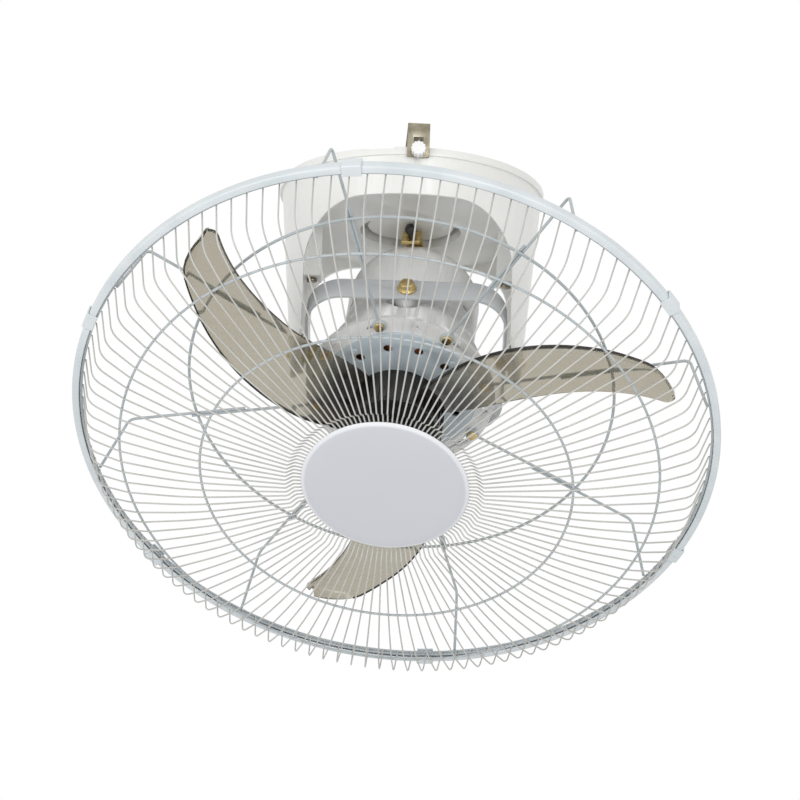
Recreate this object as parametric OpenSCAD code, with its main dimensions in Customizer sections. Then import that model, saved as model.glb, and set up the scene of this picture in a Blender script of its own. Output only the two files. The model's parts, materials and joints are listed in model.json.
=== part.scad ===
// Orbital ceiling fan, millimetres. Origin: centre of the ceiling strap's top
// face, Z up, near side of the photo at -Y. The head is drawn leaning as in the
// photo. In the head frame the fan blows along -Z.

/* [Pose] */
// Lean of the gimbal ring towards the near side, degrees
ring_lean = 36.7; // [30:0.1:40]
// Lean of the motor inside the ring, degrees
head_lean = 3.7; // [0:0.1:6]
// Distance from the strap's top face down to the gimbal pivot
pivot_drop = 147.2; // [140:0.1:152]
// Gimbal pivot ahead of the head's origin, along the motor axis
pivot_ahead = 4; // [0:0.5:6]
// Azimuth of the first blade tip
blade_azimuth = 77; // [0:1:119]

/* [Strap] */
// Width of the strap at its folded ends
strap_end_width = 16; // [12:1:24]
// Width of the strap in the middle
strap_mid_width = 30; // [24:1:40]
// Sheet thickness
strap_t = 2; // [1.5:0.1:3]
// Radius at which the ends fold down
strap_reach = 104; // [102.5:0.1:106]
// Depth of the folded ends
strap_fold = 25.4; // [20:0.1:30]
// Half spacing of the two ceiling screws
mount_half = 36; // [30:1:44]
// Ceiling screw hole diameter
mount_hole_d = 5.5; // [4:0.1:7]
// Cable hole diameter
cable_hole_d = 20; // [14:1:24]
// Turn of the strap about the vertical
strap_turn = 3; // [0:0.5:6]
// Thumb screw diameter
thumb_d = 4; // [3:0.5:6]
// Thumb knob diameter
knob_d = 10.6; // [8:0.1:14]

/* [Canopy] */
// Rim radius
canopy_rim_r = 101.5; // [98:0.5:105]
// Wall outer radius under the rim
canopy_r = 99; // [94:0.5:101]
// Wall outer radius at the height of the pivot
canopy_low_r = 88; // [86:0.5:96]
// Wall thickness
canopy_wall = 3; // [2:0.1:5]
// Rim top above the pivot
canopy_top = 129.8; // [120:0.1:134]
// Inner ceiling plate underside above the pivot
canopy_plate = 99.2; // [92:0.1:104]
// Height of the lip round the hole in the inner plate
plate_lip_h = 10; // [4:0.5:14]
// Radius of the hole in the inner plate
plate_hole_r = 38.7; // [30:0.1:45]
// Half width of the arch openings
arch_half = 77; // [70:0.5:80]
// Top of the arch openings above the pivot
arch_top = 96.2; // [85:0.1:98]
// Corner radius of the arch openings
arch_corner = 42; // [15:1:46]
// Radius of the leg ends round the pivot
leg_end_r = 18; // [14:0.5:24]
// Half width of the legs just above their ends
leg_half = 43; // [30:1:50]

/* [Gimbal] */
// Half length of the ring along the motor pivots
ring_half_y = 63.9; // [62:0.1:72]
// Half width of the ring along the leg pivots
ring_half_x = 74.9; // [72:0.1:77]
// Height of the ring strip
ring_h = 21; // [14:0.1:24]
// Thickness of the ring strip
ring_t = 2; // [1.5:0.1:3]
// Corner radius of the ring
ring_corner = 28; // [20:1:36]
// Pivot bolt diameter
bolt_d = 6; // [5:0.5:8]
// Bolt head size across flats
bolt_af = 10; // [8:0.5:13]

/* [Motor] */
// Outer radius of the front can
can_r = 58; // [54:0.5:62]
// Radius of the can at the pivots
waist_r = 50; // [46:0.5:54]
// Wall thickness of the motor shells
shell_t = 2.5; // [2:0.1:4]
// Radius of the openings at the motor pivots
pivot_recess_r = 15; // [12:0.5:18]
// Radius of the front plate
plate_r = 57; // [55:0.5:60]
// Front face of the motor plate in front of the pivot
plate_front = 49; // [46:0.5:52]
// Radius of the rear dome
dome_r = 51; // [48:0.5:54]
// Start of the rear dome behind the pivot
dome_start = 60; // [50:1:64]
// Apex of the rear dome behind the pivot
dome_apex = 96; // [80:1:97]
// Shaft diameter
shaft_d = 8; // [6:0.5:10]
// Bearing outer diameter
bearing_od = 22; // [19:1:26]
// Bearing width
bearing_w = 7; // [5:0.5:9]
// Stator inner radius
stator_in = 30; // [26:0.5:34]
// Distance of the crank ball from the gimbal pivot
ball_z = 101.2; // [99:0.1:101.4]
// Crank ball diameter
ball_d = 9; // [7:0.5:12]

/* [Blades] */
// Sweep radius
sweep_r = 201; // [190:1:205]
// Blade thickness
blade_t = 2; // [1.5:0.1:3]
// Hub radius
hub_r = 34; // [30:0.5:38]
// Rear edge of the hub in front of the pivot
hub_rear = 61; // [58:0.5:64]
// Front face of the hub in front of the pivot
hub_front = 95; // [90:0.5:105]

/* [Guard] */
// Outer radius of the rim channel
rim_r = 232.5; // [230:0.5:236]
// Height of the rim channel
rim_h = 7.5; // [6:0.1:9]
// Rear edge of the rim in front of the pivot
rim_rear = 94.5; // [92:0.5:97]
// Radial width of the rim channel
rim_w = 5.2; // [4:0.1:7]
// Sheet thickness of the rim
rim_t = 1; // [0.8:0.1:1.5]
// Number of front wires
wire_count = 120; // [90:1:130]
// Front wire diameter
wire_d = 1.4; // [1.2:0.1:2]
// Front ring wire diameter
ring_wire_d = 1.8; // [1.6:0.1:3]
// Rear spoke wire diameter
spoke_d = 2.2; // [2:0.1:4]
// Number of rear spokes
spoke_count = 8; // [6:1:10]
// Rear ring radius
rear_ring_r = 157.4; // [150:0.1:165]
// Centre cap radius
cap_r = 59.2; // [56:0.1:62]
// Diameter of the two edge wires inside the rim
edge_d = 2; // [1.6:0.1:2.6]
// Number of rim clips
clip_count = 6; // [4:1:8]

/* [Fits] */
// Radial clearance of turning fits
run_gap = 0.05; // [0.02:0.01:0.1]
// Clearance between seated pieces
seat_gap = 0.05; // [0.02:0.01:0.2]
// Clearance of screw holes
hole_gap = 0.1; // [0.05:0.05:0.3]
// Clearance between the ball and its socket
ball_gap = 0.4; // [0.3:0.05:0.8]

/* [Hidden] */
$fn = 64;

white = [0.93, 0.93, 0.92];
steel = [0.72, 0.74, 0.77];
guard = [0.78, 0.82, 0.84];
brass = [0.75, 0.6, 0.3];
smoke = [0.7, 0.66, 0.6];
dark = [0.2, 0.19, 0.18];

post_low = canopy_plate - 40;
post_x = 74;
leg_boss_in = ring_half_x + 2.9;
leg_boss_out = canopy_low_r - 1.8;
head_screw_az = -41;
head_screw_r = 50.5;
hole_circle_r = 43.5;
can_front = plate_front - 2;
lead_r = 1.1;
bush_r = bolt_d / 2 + 2;
cone = acos(cos(ring_lean) * cos(head_lean));
crank_r = ball_z * sin(cone);
ball_s = ball_z * cos(cone) - pivot_ahead;
crank_azimuth = -atan2(cos(ring_lean) * sin(head_lean), sin(ring_lean));
arm_in = 51;
arm_t = 3;
can_rear = -12;
stator_out = can_r - shell_t - seat_gap;
rotor_r = stator_in - 0.3;
wheel_y = 4.5 + 0.3 + 12;
idler_x = 16;
idler_y = wheel_y + 4 + 0.3 + 9;
gear_centre = norm([idler_x, idler_y]) - 0.3;
pinion_r = gear_centre / 6;
crank_gear_r = gear_centre * 5 / 6;
spoke_azimuth = -13.8;
eye_r = 64.5;
edge_r = rim_r - rim_w - 0.7;
edge_z = rim_rear + rim_h / 2;
spoke_out = edge_r - edge_d / 2 - spoke_d / 2 - 0.08;
eye_h = can_front + spoke_d / 2 + 0.2;
wire_in_z = 148;
cap_seat = wire_in_z + wire_d / 2 + 0.1;

module at_pivot() translate([0, 0, -pivot_drop]) children();
module at_ring() at_pivot() rotate([-ring_lean, 0, 0]) children();
module at_head() at_ring() rotate([0, head_lean, 0]) translate([0, 0, pivot_ahead]) children();
module at_motor_pivot() at_head() translate([0, 0, -pivot_ahead]) children();
function wall_r(z) = canopy_low_r + (canopy_r + 0.5 - canopy_low_r) * z / (canopy_top - 5.6);
// azimuth measured from -Y towards +X, then radius along the local X axis
module az(a) rotate([0, 0, a - 90]) children();
module both_y() { children(); mirror([0, 1, 0]) children(); }
module both_x() { children(); mirror([1, 0, 0]) children(); }
module rod(r, l) rotate([0, 90, 0]) cylinder(h = l, r = r);
module tube(r1, r2, l) difference() {
    cylinder(h = l, r = r2);
    translate([0, 0, -1]) cylinder(h = l + 2, r = r1);
}
module hoop(r, d) rotate_extrude($fn = 128) translate([r, 0]) circle(d = d, $fn = 24);
module rounded(x, y, r) {
    square([2 * x, 2 * (y - r)], center = true);
    square([2 * (x - r), 2 * y], center = true);
    for (i = [-1, 1], j = [-1, 1]) translate([i * (x - r), j * (y - r)]) circle(r = r);
}
module toothed(r, n, l) linear_extrude(height = l) {
    circle(r = r - 1.6);
    for (k = [0 : n - 1]) rotate(k * 360 / n) translate([r - 2.2, -r * 0.065]) square([2.2, r * 0.13]);
}

// ---- ceiling side ----
module ceiling_strap() color(steel) rotate([0, 0, strap_turn]) difference() {
    union() {
        translate([0, 0, -strap_t]) linear_extrude(height = strap_t) {
            square([strap_end_width, 2 * strap_reach], center = true);
            rounded(strap_mid_width / 2, 52, 6);
        }
        both_y() translate([-strap_end_width / 2, strap_reach - strap_t, -strap_fold])
            cube([strap_end_width, strap_t, strap_fold]);
    }
    translate([0, 0, -strap_t - 1]) cylinder(h = strap_t + 2, d = cable_hole_d);
    for (s = [-1, 1]) translate([0, s * mount_half, -strap_t - 1]) cylinder(h = strap_t + 2, d = mount_hole_d);
    both_y() {
        translate([0, strap_reach - strap_t - 1, -21.2]) rotate([-90, 0, 0]) cylinder(h = strap_t + 2, d = thumb_d + 2 * hole_gap);
        translate([-3.5, strap_reach - strap_t - 1, -14]) cube([7, strap_t + 2, 3.4]);
    }
}
module thumb_screws() color(white) rotate([0, 0, strap_turn]) both_y() translate([0, 0, -21.2]) {
    translate([0, 95, 0]) rotate([-90, 0, 0]) cylinder(h = strap_reach - 94, d = thumb_d);
    translate([0, strap_reach + seat_gap, 0]) rotate([-90, 0, 0]) linear_extrude(height = 7) {
        circle(d = knob_d - 1.2);
        for (k = [0 : 11]) rotate(k * 30) translate([knob_d / 2 - 1.4, -0.7]) square([1.4, 1.4]);
    }
}
module leg_outline() {
    polygon([[-75, 140], [75, 140], [75, 9], [-75, 9]]);
    hull() {
        circle(r = leg_end_r);
        translate([-leg_half, 8]) square([2 * leg_half, 2]);
    }
}
module arch_outline() {
    translate([0, arch_top / 2 - 30]) rounded(arch_half, arch_top / 2 + 30, arch_corner);
    translate([-arch_half, -70]) square([2 * arch_half, 100]);
}
module canopy_shell() rotate_extrude($fn = 180) {
    polygon([[wall_r(-30) - canopy_wall, -30], [wall_r(-30), -30], [wall_r(canopy_top - 5.6), canopy_top - 5.6],
             [canopy_rim_r, canopy_top - 5.6], [canopy_rim_r, canopy_top],
             [canopy_rim_r - 2.5, canopy_top], [canopy_rim_r - 2.5, canopy_top - 3],
             [wall_r(canopy_top - 3) - canopy_wall, canopy_top - 3]]);
    translate([plate_hole_r, canopy_plate]) square([wall_r(canopy_plate) - plate_hole_r - 1, 2.6]);
    translate([plate_hole_r, canopy_plate]) square([2.6, plate_lip_h]);
}
module leg_ribs() both_x() {
    translate([leg_boss_in, 0, 0]) rod(15, leg_boss_out - leg_boss_in);
    rotate([90, 0, 0]) linear_extrude(height = 22, center = true)
        polygon([[81, 13], [wall_r(13) - 1.5, 13], [wall_r(canopy_plate) - 1.5, canopy_plate + 1], [81, canopy_plate + 1]]);
    translate([67, -10, post_low]) cube([20, 20, canopy_plate - post_low + 1]);
}
module canopy() color(white) at_pivot() difference() {
    union() {
        intersection() {
            canopy_shell();
            union() {
                rotate([90, 0, 90]) linear_extrude(height = 240, center = true) leg_outline();
                translate([-120, -120, 60]) cube([240, 240, 80]);
            }
            union() {
                difference() {
                    translate([-120, -120, -40]) cube([240, 240, 180]);
                    rotate([90, 0, 0]) linear_extrude(height = 240, center = true) arch_outline();
                }
                translate([0, 0, canopy_plate - 1]) cylinder(h = 12, r = 90);
            }
        }
        leg_ribs();
    }
    both_x() {
        translate([leg_boss_in - 1, 0, 0]) rod(bush_r + seat_gap, 30);
        translate([post_x, 0, post_low - 6]) cylinder(h = 24, r = 2 + hole_gap);
    }
    rotate([0, 0, strap_turn]) both_y() translate([0, 93, pivot_drop - 21.2]) rotate([-90, 0, 0]) cylinder(h = 14, d = thumb_d + 2 * hole_gap);
    translate([-40, -canopy_rim_r - 1, canopy_top - 1.2]) cube([28, 8, 3]);
    translate([-35, 60, canopy_plate - 1]) cylinder(h = 6, r = 5);
}
module terminal_block() color(white) at_pivot() translate([-20, 52, canopy_plate + 2.6 + seat_gap]) difference() {
    cube([40, 16, 12]);
    for (i = [0 : 3]) translate([5 + i * 10, 8, 4]) cylinder(h = 10, r = lead_r + 0.2);
}
module capacitor() color(dark) at_pivot() translate([-24, -74, canopy_plate + 2.6 + seat_gap]) linear_extrude(height = 16) translate([24, 9]) rounded(24, 9, 3);
module lead_wires() color([0.75, 0.45, 0.15]) at_pivot() {
    for (i = [0 : 2]) translate([-15 + i * 10, 60, canopy_plate + 10]) {
        cylinder(h = 20, r = lead_r);
        translate([0, 0, 20]) sphere(r = lead_r + 0.04);
        translate([0, 0, 20]) rotate([90, 0, 0]) cylinder(h = 50, r = lead_r);
    }
}
module leg_bushes() color(brass) at_pivot() both_x() translate([leg_boss_in - 0.8, 0, 0]) rotate([0, 90, 0]) difference() {
    union() {
        cylinder(h = 11, r = bush_r);
        cylinder(h = 0.75, r = bush_r + 2);
    }
    translate([0, 0, -1]) cylinder(h = 16, r = bolt_d / 2 + run_gap);
}
module leg_screws() color(brass) at_pivot() both_x() translate([post_x, 0, post_low]) {
    translate([0, 0, -seat_gap - 2.4]) cylinder(h = 2.4, r = 4);
    translate([0, 0, -2]) cylinder(h = 18, r = 2);
}
// open spherical seat about the gimbal pivot, on which the crank ball runs
module orbit_socket() color(dark) at_pivot() difference() {
    union() {
        translate([0, 0, canopy_plate + plate_lip_h + seat_gap]) cylinder(h = 3, r = plate_hole_r + 2);
        translate([0, 0, ball_z + 2]) cylinder(h = canopy_plate + plate_lip_h + 1 - ball_z - 2, r = plate_hole_r - 6);
    }
    sphere(r = ball_z + ball_d / 2 + ball_gap, $fn = 128);
}

// ---- gimbal ring ----
module gimbal_ring() color([0.8, 0.83, 0.86]) at_ring() difference() {
    linear_extrude(height = ring_h, center = true) difference() {
        rounded(ring_half_x, ring_half_y, ring_corner);
        rounded(ring_half_x - ring_t, ring_half_y - ring_t, ring_corner - ring_t);
    }
    both_x() translate([ring_half_x - 6, 0, 0]) rod(bolt_d / 2 + seat_gap, 12);
    rotate([90, 0, 0]) cylinder(h = 200, r = bush_r + seat_gap, center = true);
}
module leg_pivot_bolts() color(brass) at_ring() both_x() {
    translate([ring_half_x - ring_t - 1.4 - seat_gap, 0, 0]) rotate([0, 90, 0]) cylinder(h = 1.4, r = 7);
    translate([ring_half_x - ring_t - 5.4 - seat_gap, 0, 0]) rotate([0, 90, 0]) cylinder(h = 4, d = bolt_af / cos(30), $fn = 6);
    translate([ring_half_x - ring_t - 1.5, 0, 0]) rod(bolt_d / 2, canopy_low_r + 2 - ring_half_x + ring_t + 1.5);
}
module leg_pivot_nuts() color(brass) at_ring() both_x() translate([ring_half_x + seat_gap, 0, 0]) rotate([0, 90, 0]) difference() {
    cylinder(h = 2, r = 6);
    translate([0, 0, -1]) cylinder(h = 6, r = bolt_d / 2 + 0.01);
}
module ring_bushes() color(brass) at_ring() both_y() translate([0, ring_half_y - ring_t - 0.9, 0]) rotate([-90, 0, 0]) difference() {
    union() {
        cylinder(h = ring_t + 0.9, r = bush_r);
        cylinder(h = 0.8, r = bush_r + 2);
    }
    translate([0, 0, -1]) cylinder(h = 6, r = bolt_d / 2 + run_gap);
}

// ---- motor ----
module motor_pivot_bolts() color(brass) at_motor_pivot() both_y() {
    translate([0, waist_r - 3, 0]) rotate([-90, 0, 0]) cylinder(h = ring_half_y + 3 - waist_r + 1, r = bolt_d / 2);
    translate([0, ring_half_y + 0.25, 0]) rotate([-90, 0, 0]) cylinder(h = 1.5, r = 7);
    translate([0, ring_half_y + 1.7, 0]) rotate([-90, 0, 0]) cylinder(h = 4.4, d = bolt_af / cos(30), $fn = 6);
}
module can_solid(o) rotate_extrude($fn = 128)
    polygon([[0, -can_front - o * 5], [can_r - o * shell_t, -can_front - o * 5], [can_r - o * shell_t, -14],
             [waist_r - o * shell_t, 4], [waist_r - o * shell_t, -can_rear + o * 5], [0, -can_rear + o * 5]]);
module screw_circle() for (k = [0 : 3]) az(k * 90 + head_screw_az) translate([head_screw_r, 0, -plate_front]) children();
module motor_can() color(white) at_head() difference() {
    union() {
        difference() {
            can_solid(0);
            can_solid(1);
            // openings in front of the pivot bosses
            both_y() translate([0, waist_r - 8, -pivot_ahead]) rotate([-90, 0, 0]) intersection() {
                cylinder(h = 30, r = pivot_recess_r);
                translate([-30, 3, -1]) cube([60, 30, 40]);
            }
        }
        translate([0, 0, -can_front]) tube(can_r - 1, 70, 3);
        both_y() translate([0, waist_r - 4, -pivot_ahead]) rotate([-90, 0, 0])
            cylinder(h = ring_half_y - ring_t - 1.1 - waist_r + 4, r = pivot_recess_r - 6);
        screw_circle() translate([-4, -5, 2]) cube([10, 10, 9]);
    }
    both_y() translate([0, waist_r - 8, -pivot_ahead]) rotate([-90, 0, 0]) cylinder(h = 40, r = bolt_d / 2 + seat_gap);
    screw_circle() translate([0, 0, 1]) cylinder(h = 9, r = 1.8 + hole_gap);
    spoke_circle() translate([eye_r, 0, -can_front - 1]) cylinder(h = 6, r = 1.5 + hole_gap);
    for (k = [0 : 11]) az(k * 30 + 9.7) translate([64.6, 0, -can_front - 1]) linear_extrude(height = 6)
        polygon([[-2.2, -3.2], [2.2, 0], [-2.2, 3.2]]);
}
module front_plate() color(guard) at_head() difference() {
    union() {
        translate([0, 0, -plate_front]) cylinder(h = 2 - seat_gap, r = plate_r);
        translate([0, 0, -plate_front]) cylinder(h = bearing_w + 3, r = bearing_od / 2 + 3);
    }
    translate([0, 0, -plate_front - 1]) cylinder(h = 20, r = shaft_d / 2 + 1);
    translate([0, 0, -plate_front + 2]) cylinder(h = 20, d = bearing_od + 2 * seat_gap);
    for (k = [0 : 11]) az(k * 30 - 42) translate([hole_circle_r, 0, -plate_front - 1]) cylinder(h = 4, r = 3.4);
    screw_circle() translate([0, 0, -1]) cylinder(h = 4, r = 1.8 + hole_gap);
}
module housing_screws() color(brass) at_head() screw_circle() translate([0, 0, -seat_gap]) {
    translate([0, 0, -1.6]) cylinder(h = 1.6, r = 2.6);
    translate([0, 0, -1]) cylinder(h = 9, r = 1.8);
}
module dome(o) rotate_extrude($fn = 128) {
    r = dome_r - o;
    a = dome_apex - o;
    polygon(concat([[0, 12 - o], [r - 1, 12 - o], [r, dome_start]],
        [for (t = [10 : 10 : 90]) [r * cos(t), dome_start + (a - dome_start) * sin(t)]]));
}
module rear_housing() color(white) at_head() difference() {
    union() {
        difference() {
            dome(0);
            dome(shell_t);
        }
        translate([0, 0, dome_apex - 12]) cylinder(h = 12, r = 9);
    }
    translate([0, 0, 40]) cylinder(h = 60, r = 5 + run_gap);
    for (k = [0 : 5]) rotate([0, 0, k * 60 + 30]) translate([dome_r - 6, -6, 24]) cube([12, 12, 3]);
}
module stator_core() color(steel) at_head() translate([0, 0, -36]) difference() {
    cylinder(h = 22, r = stator_out);
    translate([0, 0, -1]) cylinder(h = 24, r = stator_in);
    for (k = [0 : 15]) rotate([0, 0, k * 22.5]) translate([stator_in + 4, -2.2, -1]) cube([14, 4.4, 24]);
}
module stator_windings() color([0.7, 0.38, 0.16]) at_head() {
    translate([0, 0, -36 - seat_gap - 3.5]) rotate_extrude() translate([40, 0]) rounded(5.5, 3.5, 2.5);
    translate([0, 0, -14 + seat_gap + 3.5]) rotate_extrude() translate([40, 0]) rounded(5, 3.5, 2.5);
    for (k = [0 : 15]) rotate([0, 0, k * 22.5]) translate([stator_in + 5, -2, -36.5]) cube([12, 4, 23]);
}
module bearing() {
    tube(shaft_d / 2 + run_gap, shaft_d / 2 + 2.4, bearing_w);
    translate([0, 0, 1]) tube(shaft_d / 2 + 2.4, bearing_od / 2 - 2.2, bearing_w - 2);
    tube(bearing_od / 2 - 2.2, bearing_od / 2, bearing_w);
}
module front_bearing() color(steel) at_head() translate([0, 0, -plate_front + 2 + seat_gap]) bearing();
module rear_bearing() color(steel) at_head() translate([0, 0, 9 + seat_gap]) bearing();
module gear_plate() color(steel) at_head() difference() {
    union() {
        translate([0, 0, -can_rear + seat_gap]) cylinder(h = 3, r = dome_r - shell_t - 1 - seat_gap);
        translate([0, 0, 9]) cylinder(h = bearing_w + 3, r = bearing_od / 2 + 3);
        both_x() translate([25, wheel_y - 4, 14]) cube([4, 8, 39]);
    }
    translate([0, 0, 5]) cylinder(h = bearing_w + 4 + 2 * seat_gap, d = bearing_od + 2 * seat_gap);
    translate([0, 0, 5]) cylinder(h = 30, r = shaft_d / 2 + 1);
    translate([-40, wheel_y, 48]) rod(2 + run_gap, 80);
    translate([idler_x, idler_y, 10]) cylinder(h = 20, r = 2 + run_gap);
}

// ---- turning parts of the head ----
module rotor_core() color(steel) at_head() translate([0, 0, -36]) tube(shaft_d / 2 + seat_gap, rotor_r, 22);
module shaft() color(steel) at_head() {
    translate([0, 0, -104]) cylinder(h = 134, d = shaft_d);
    translate([0, 0, 30]) cylinder(h = 26, r = 3);
}
module worm() color(brass) at_head() translate([0, 0, 41]) {
    tube(3 + seat_gap, 4, 14);
    for (k = [0 : 4]) translate([0, 0, 1 + k * 2.6]) tube(3.9, 4.5, 1.3);
}
function lead(r) = 68.6 - (190 - r) * 0.285 + (r > 188 ? 8 * (1 - sqrt(max(0, 1 - pow((r - 188) / 13.2, 2)))) : 0);
function trail(r) = 74 + (r > 110 ? 0.00092 : 0.0023) * pow(r - 110, 2) - (r > 193 ? 3 * (1 - sqrt(max(0, 1 - pow((r - 193) / 8.4, 2)))) : 0);
function lead_h(r) = 78 + max(0, min(170 - r, 100)) * 0.1;
function trail_h(r) = 73 - max(0, 100 - r) * 0.1;
blade_rs = [32.5, 45, 60, 75, 90, 105, 120, 135, 150, 165, 180, 188, 194, 198, 200, sweep_r];
chord_n = 8;
function blade_pt(r, u, side) = let (a = lead(r) + (trail(r) - lead(r)) * u, h = lead_h(r) + (trail_h(r) - lead_h(r)) * u - 4 * u * (1 - u) * min(6, 0.035 * r))
    [r * sin(a), -r * cos(a), -h + side * blade_t / 2];
module blade() {
    n = len(blade_rs);
    c = chord_n + 1;
    pts = [for (s = [1, -1], i = [0 : n - 1], j = [0 : chord_n]) blade_pt(blade_rs[i], j / chord_n, s)];
    top = [for (i = [0 : n - 2], j = [0 : chord_n - 1]) each let (p = i * c + j) [[p, p + 1, p + c], [p + 1, p + c + 1, p + c]]];
    bot = [for (f = top) [f[2] + n * c, f[1] + n * c, f[0] + n * c]];
    ends = [for (j = [0 : chord_n - 1]) each let (p = j, q = (n - 1) * c + j, b = n * c)
        [[p + 1, p, b + p], [p + 1, b + p, b + p + 1], [q, q + 1, b + q], [q + 1, b + q + 1, b + q]]];
    sides = [for (i = [0 : n - 2]) each let (p = i * c, q = i * c + chord_n, b = n * c)
        [[p, p + c, b + p], [p + c, b + p + c, b + p], [q + c, q, b + q], [q + c, b + q, b + q + c]]];
    polyhedron(points = pts, faces = concat(top, bot, ends, sides), convexity = 6);
}
module fan_blades() color(smoke) at_head() difference() {
    union() {
        for (k = [0 : 2]) rotate([0, 0, blade_azimuth - 77 + k * 120]) blade();
        difference() {
            translate([0, 0, -hub_front]) cylinder(h = hub_front - hub_rear, r = hub_r);
            translate([0, 0, -hub_front + 3]) cylinder(h = 60, r = hub_r - 3);
        }
        translate([0, 0, -hub_front]) cylinder(h = 28, r = 9);
        for (k = [0 : 11]) rotate([0, 0, k * 30]) translate([8, -0.8, -hub_front + 1]) cube([hub_r - 10, 1.6, 20]);
        for (k = [0 : 35]) rotate([0, 0, k * 10]) translate([hub_r - 0.5, -0.6, -hub_front + 3]) cube([1.3, 1.2, hub_front - hub_rear - 3]);
    }
    translate([0, 0, -hub_front - 1]) cylinder(h = 60, r = shaft_d / 2 + seat_gap);
}
module spinner_nut() color(dark) at_head() translate([0, 0, -hub_front - seat_gap - 12]) difference() {
    union() {
        cylinder(h = 12, r = 11);
        translate([0, 0, 6]) cylinder(h = 6, r = 16);
        for (k = [0 : 11]) rotate([0, 0, k * 30]) translate([10, -1, 0]) cube([2.2, 2, 12]);
    }
    translate([0, 0, 2.5]) cylinder(h = 20, r = shaft_d / 2 + seat_gap);
}
module worm_wheel() color(white) at_head() translate([-3, wheel_y, 48]) rotate([0, 90, 0]) difference() {
    toothed(12, 24, 6);
    translate([0, 0, -1]) cylinder(h = 8, r = 2 + seat_gap);
}
module cross_shaft() color(steel) at_head() translate([0, wheel_y, 48]) {
    translate([-31, 0, 0]) rod(2, 62);
    translate([9, 0, 0]) rod(3.4, 14);
    for (k = [0 : 4]) translate([10 + k * 2.6, 0, 0]) rod(4, 1.2);
}
module idler_gear() color(white) at_head() translate([idler_x, idler_y, 0]) difference() {
    union() {
        translate([0, 0, 45.5]) toothed(9, 20, 5);
        translate([0, 0, 50]) cylinder(h = 16, r = 3.2);
        translate([0, 0, 61]) toothed(pinion_r, 12, 5);
    }
    translate([0, 0, 40]) cylinder(h = 30, r = 2 + seat_gap);
}
module idler_spindle() color(steel) at_head() translate([idler_x, idler_y, 13]) {
    cylinder(h = 56, r = 2);
    translate([0, 0, 28]) cylinder(h = 4.4, r = 3.4);
}
module crank_gear() color(white) at_head() translate([0, 0, 61]) difference() {
    toothed(crank_gear_r, 60, 5);
    translate([0, 0, -1]) cylinder(h = 8, r = 5 + seat_gap);
}
module crank_shaft() color(steel) at_head() {
    translate([0, 0, 60]) cylinder(h = dome_apex + 4.5 - 60, r = 5);
    translate([0, 0, 66 + seat_gap]) cylinder(h = 2, r = 7);
}
module crank_arm() color([0.8, 0.68, 0.3]) at_head() az(crank_azimuth) difference() {
    a = dome_apex + 0.3;
    union() {
        translate([0, 0, a]) cylinder(h = arm_t, r = 12);
        rotate([90, 0, 0]) linear_extrude(height = 14, center = true)
            polygon([[0, a + arm_t], [18, a + arm_t], [arm_in + arm_t, ball_s + 8], [arm_in + arm_t, ball_s - 6],
                     [arm_in, ball_s - 6], [arm_in, ball_s + 6.5], [17, a], [0, a]]);
    }
    translate([0, 0, a - 20]) cylinder(h = 40, r = 5 + seat_gap);
    translate([arm_in - 2, 0, ball_s]) rod(2 + seat_gap, 10);
}
module crank_ball() color(dark) at_head() az(crank_azimuth) translate([0, 0, ball_s]) {
    translate([crank_r, 0, 0]) sphere(d = ball_d, $fn = 48);
    translate([arm_in - 2, 0, 0]) rod(2, crank_r - arm_in + 2);
    translate([arm_in - 2.4, 0, 0]) rod(3.5, 2.4 - seat_gap);
}

// ---- guard ----
// front wire path in the radial plane: radius and -height, with bend radii
path_v = [[edge_r - (edge_d + wire_d) / 2 + 0.1, -edge_z], [edge_r - 11.6, -128.8], [190, -139.2], [140, -149],
  [69.6, -152.7], [64.8, -wire_in_z], [44, -wire_in_z]];
path_r = [0, 16, 40, 300, 2.2, 2.2, 0];
path_n = [0, 4, 1, 2, 1, 1, 0];
function unit(v) = v / norm(v);
function left(v) = [-v[1], v[0]];
function dir(i) = unit(path_v[i + 1] - path_v[i]);
function turn(i) = acos(min(1, dir(i - 1) * dir(i)));
function hand(i) = sign(dir(i - 1)[0] * dir(i)[1] - dir(i - 1)[1] * dir(i)[0]);
function bend(i, e) = let (u = dir(i - 1), s = hand(i), p = path_v[i] - u * path_r[i] * tan(turn(i) / 2), c = p + left(u) * s * path_r[i],
    a = atan2(p[1] - c[1], p[0] - c[0]), r = path_r[i] - s * e)
    [for (k = [0 : path_n[i]]) c + r * [cos(a + s * turn(i) * k / path_n[i]), sin(a + s * turn(i) * k / path_n[i])]];
function offset_path(e) = concat([path_v[0] + left(dir(0)) * e], [for (i = [1 : len(path_v) - 2]) each bend(i, e)],
    [path_v[len(path_v) - 1] + left(dir(len(path_v) - 2)) * e]);
function reversed(l) = [for (i = [len(l) - 1 : -1 : 0]) l[i]];
module front_guard_wires() color(guard) at_head() for (k = [0 : wire_count - 1]) az(1.4 + k * 360 / wire_count)
    rotate([90, 0, 0]) linear_extrude(height = wire_d, center = true)
        polygon(concat(offset_path(wire_d / 2), reversed(offset_path(-wire_d / 2))));
function path_h(i, r) = let (p = path_v[i], q = path_v[i + 1]) p[1] + (q[1] - p[1]) * (r - p[0]) / (q[0] - p[0]);
module front_guard_rings() color(guard) at_head() {
    o = (wire_d + ring_wire_d) / 2 - 0.1;
    // the wires' bends lift them a little at the two cross rings
    translate([0, 0, path_v[2][1] + o + 0.52]) hoop(path_v[2][0], ring_wire_d);
    translate([0, 0, path_h(3, 130.8) + o + 0.45]) hoop(130.8, ring_wire_d);
    translate([0, 0, path_h(3, 74) + wire_d - 0.1]) hoop(74, wire_d);
    translate([0, 0, -wire_in_z + o]) hoop(53, ring_wire_d);
    translate([0, 0, -edge_z - edge_d / 2 - 0.1]) hoop(edge_r, edge_d);
}
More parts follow.
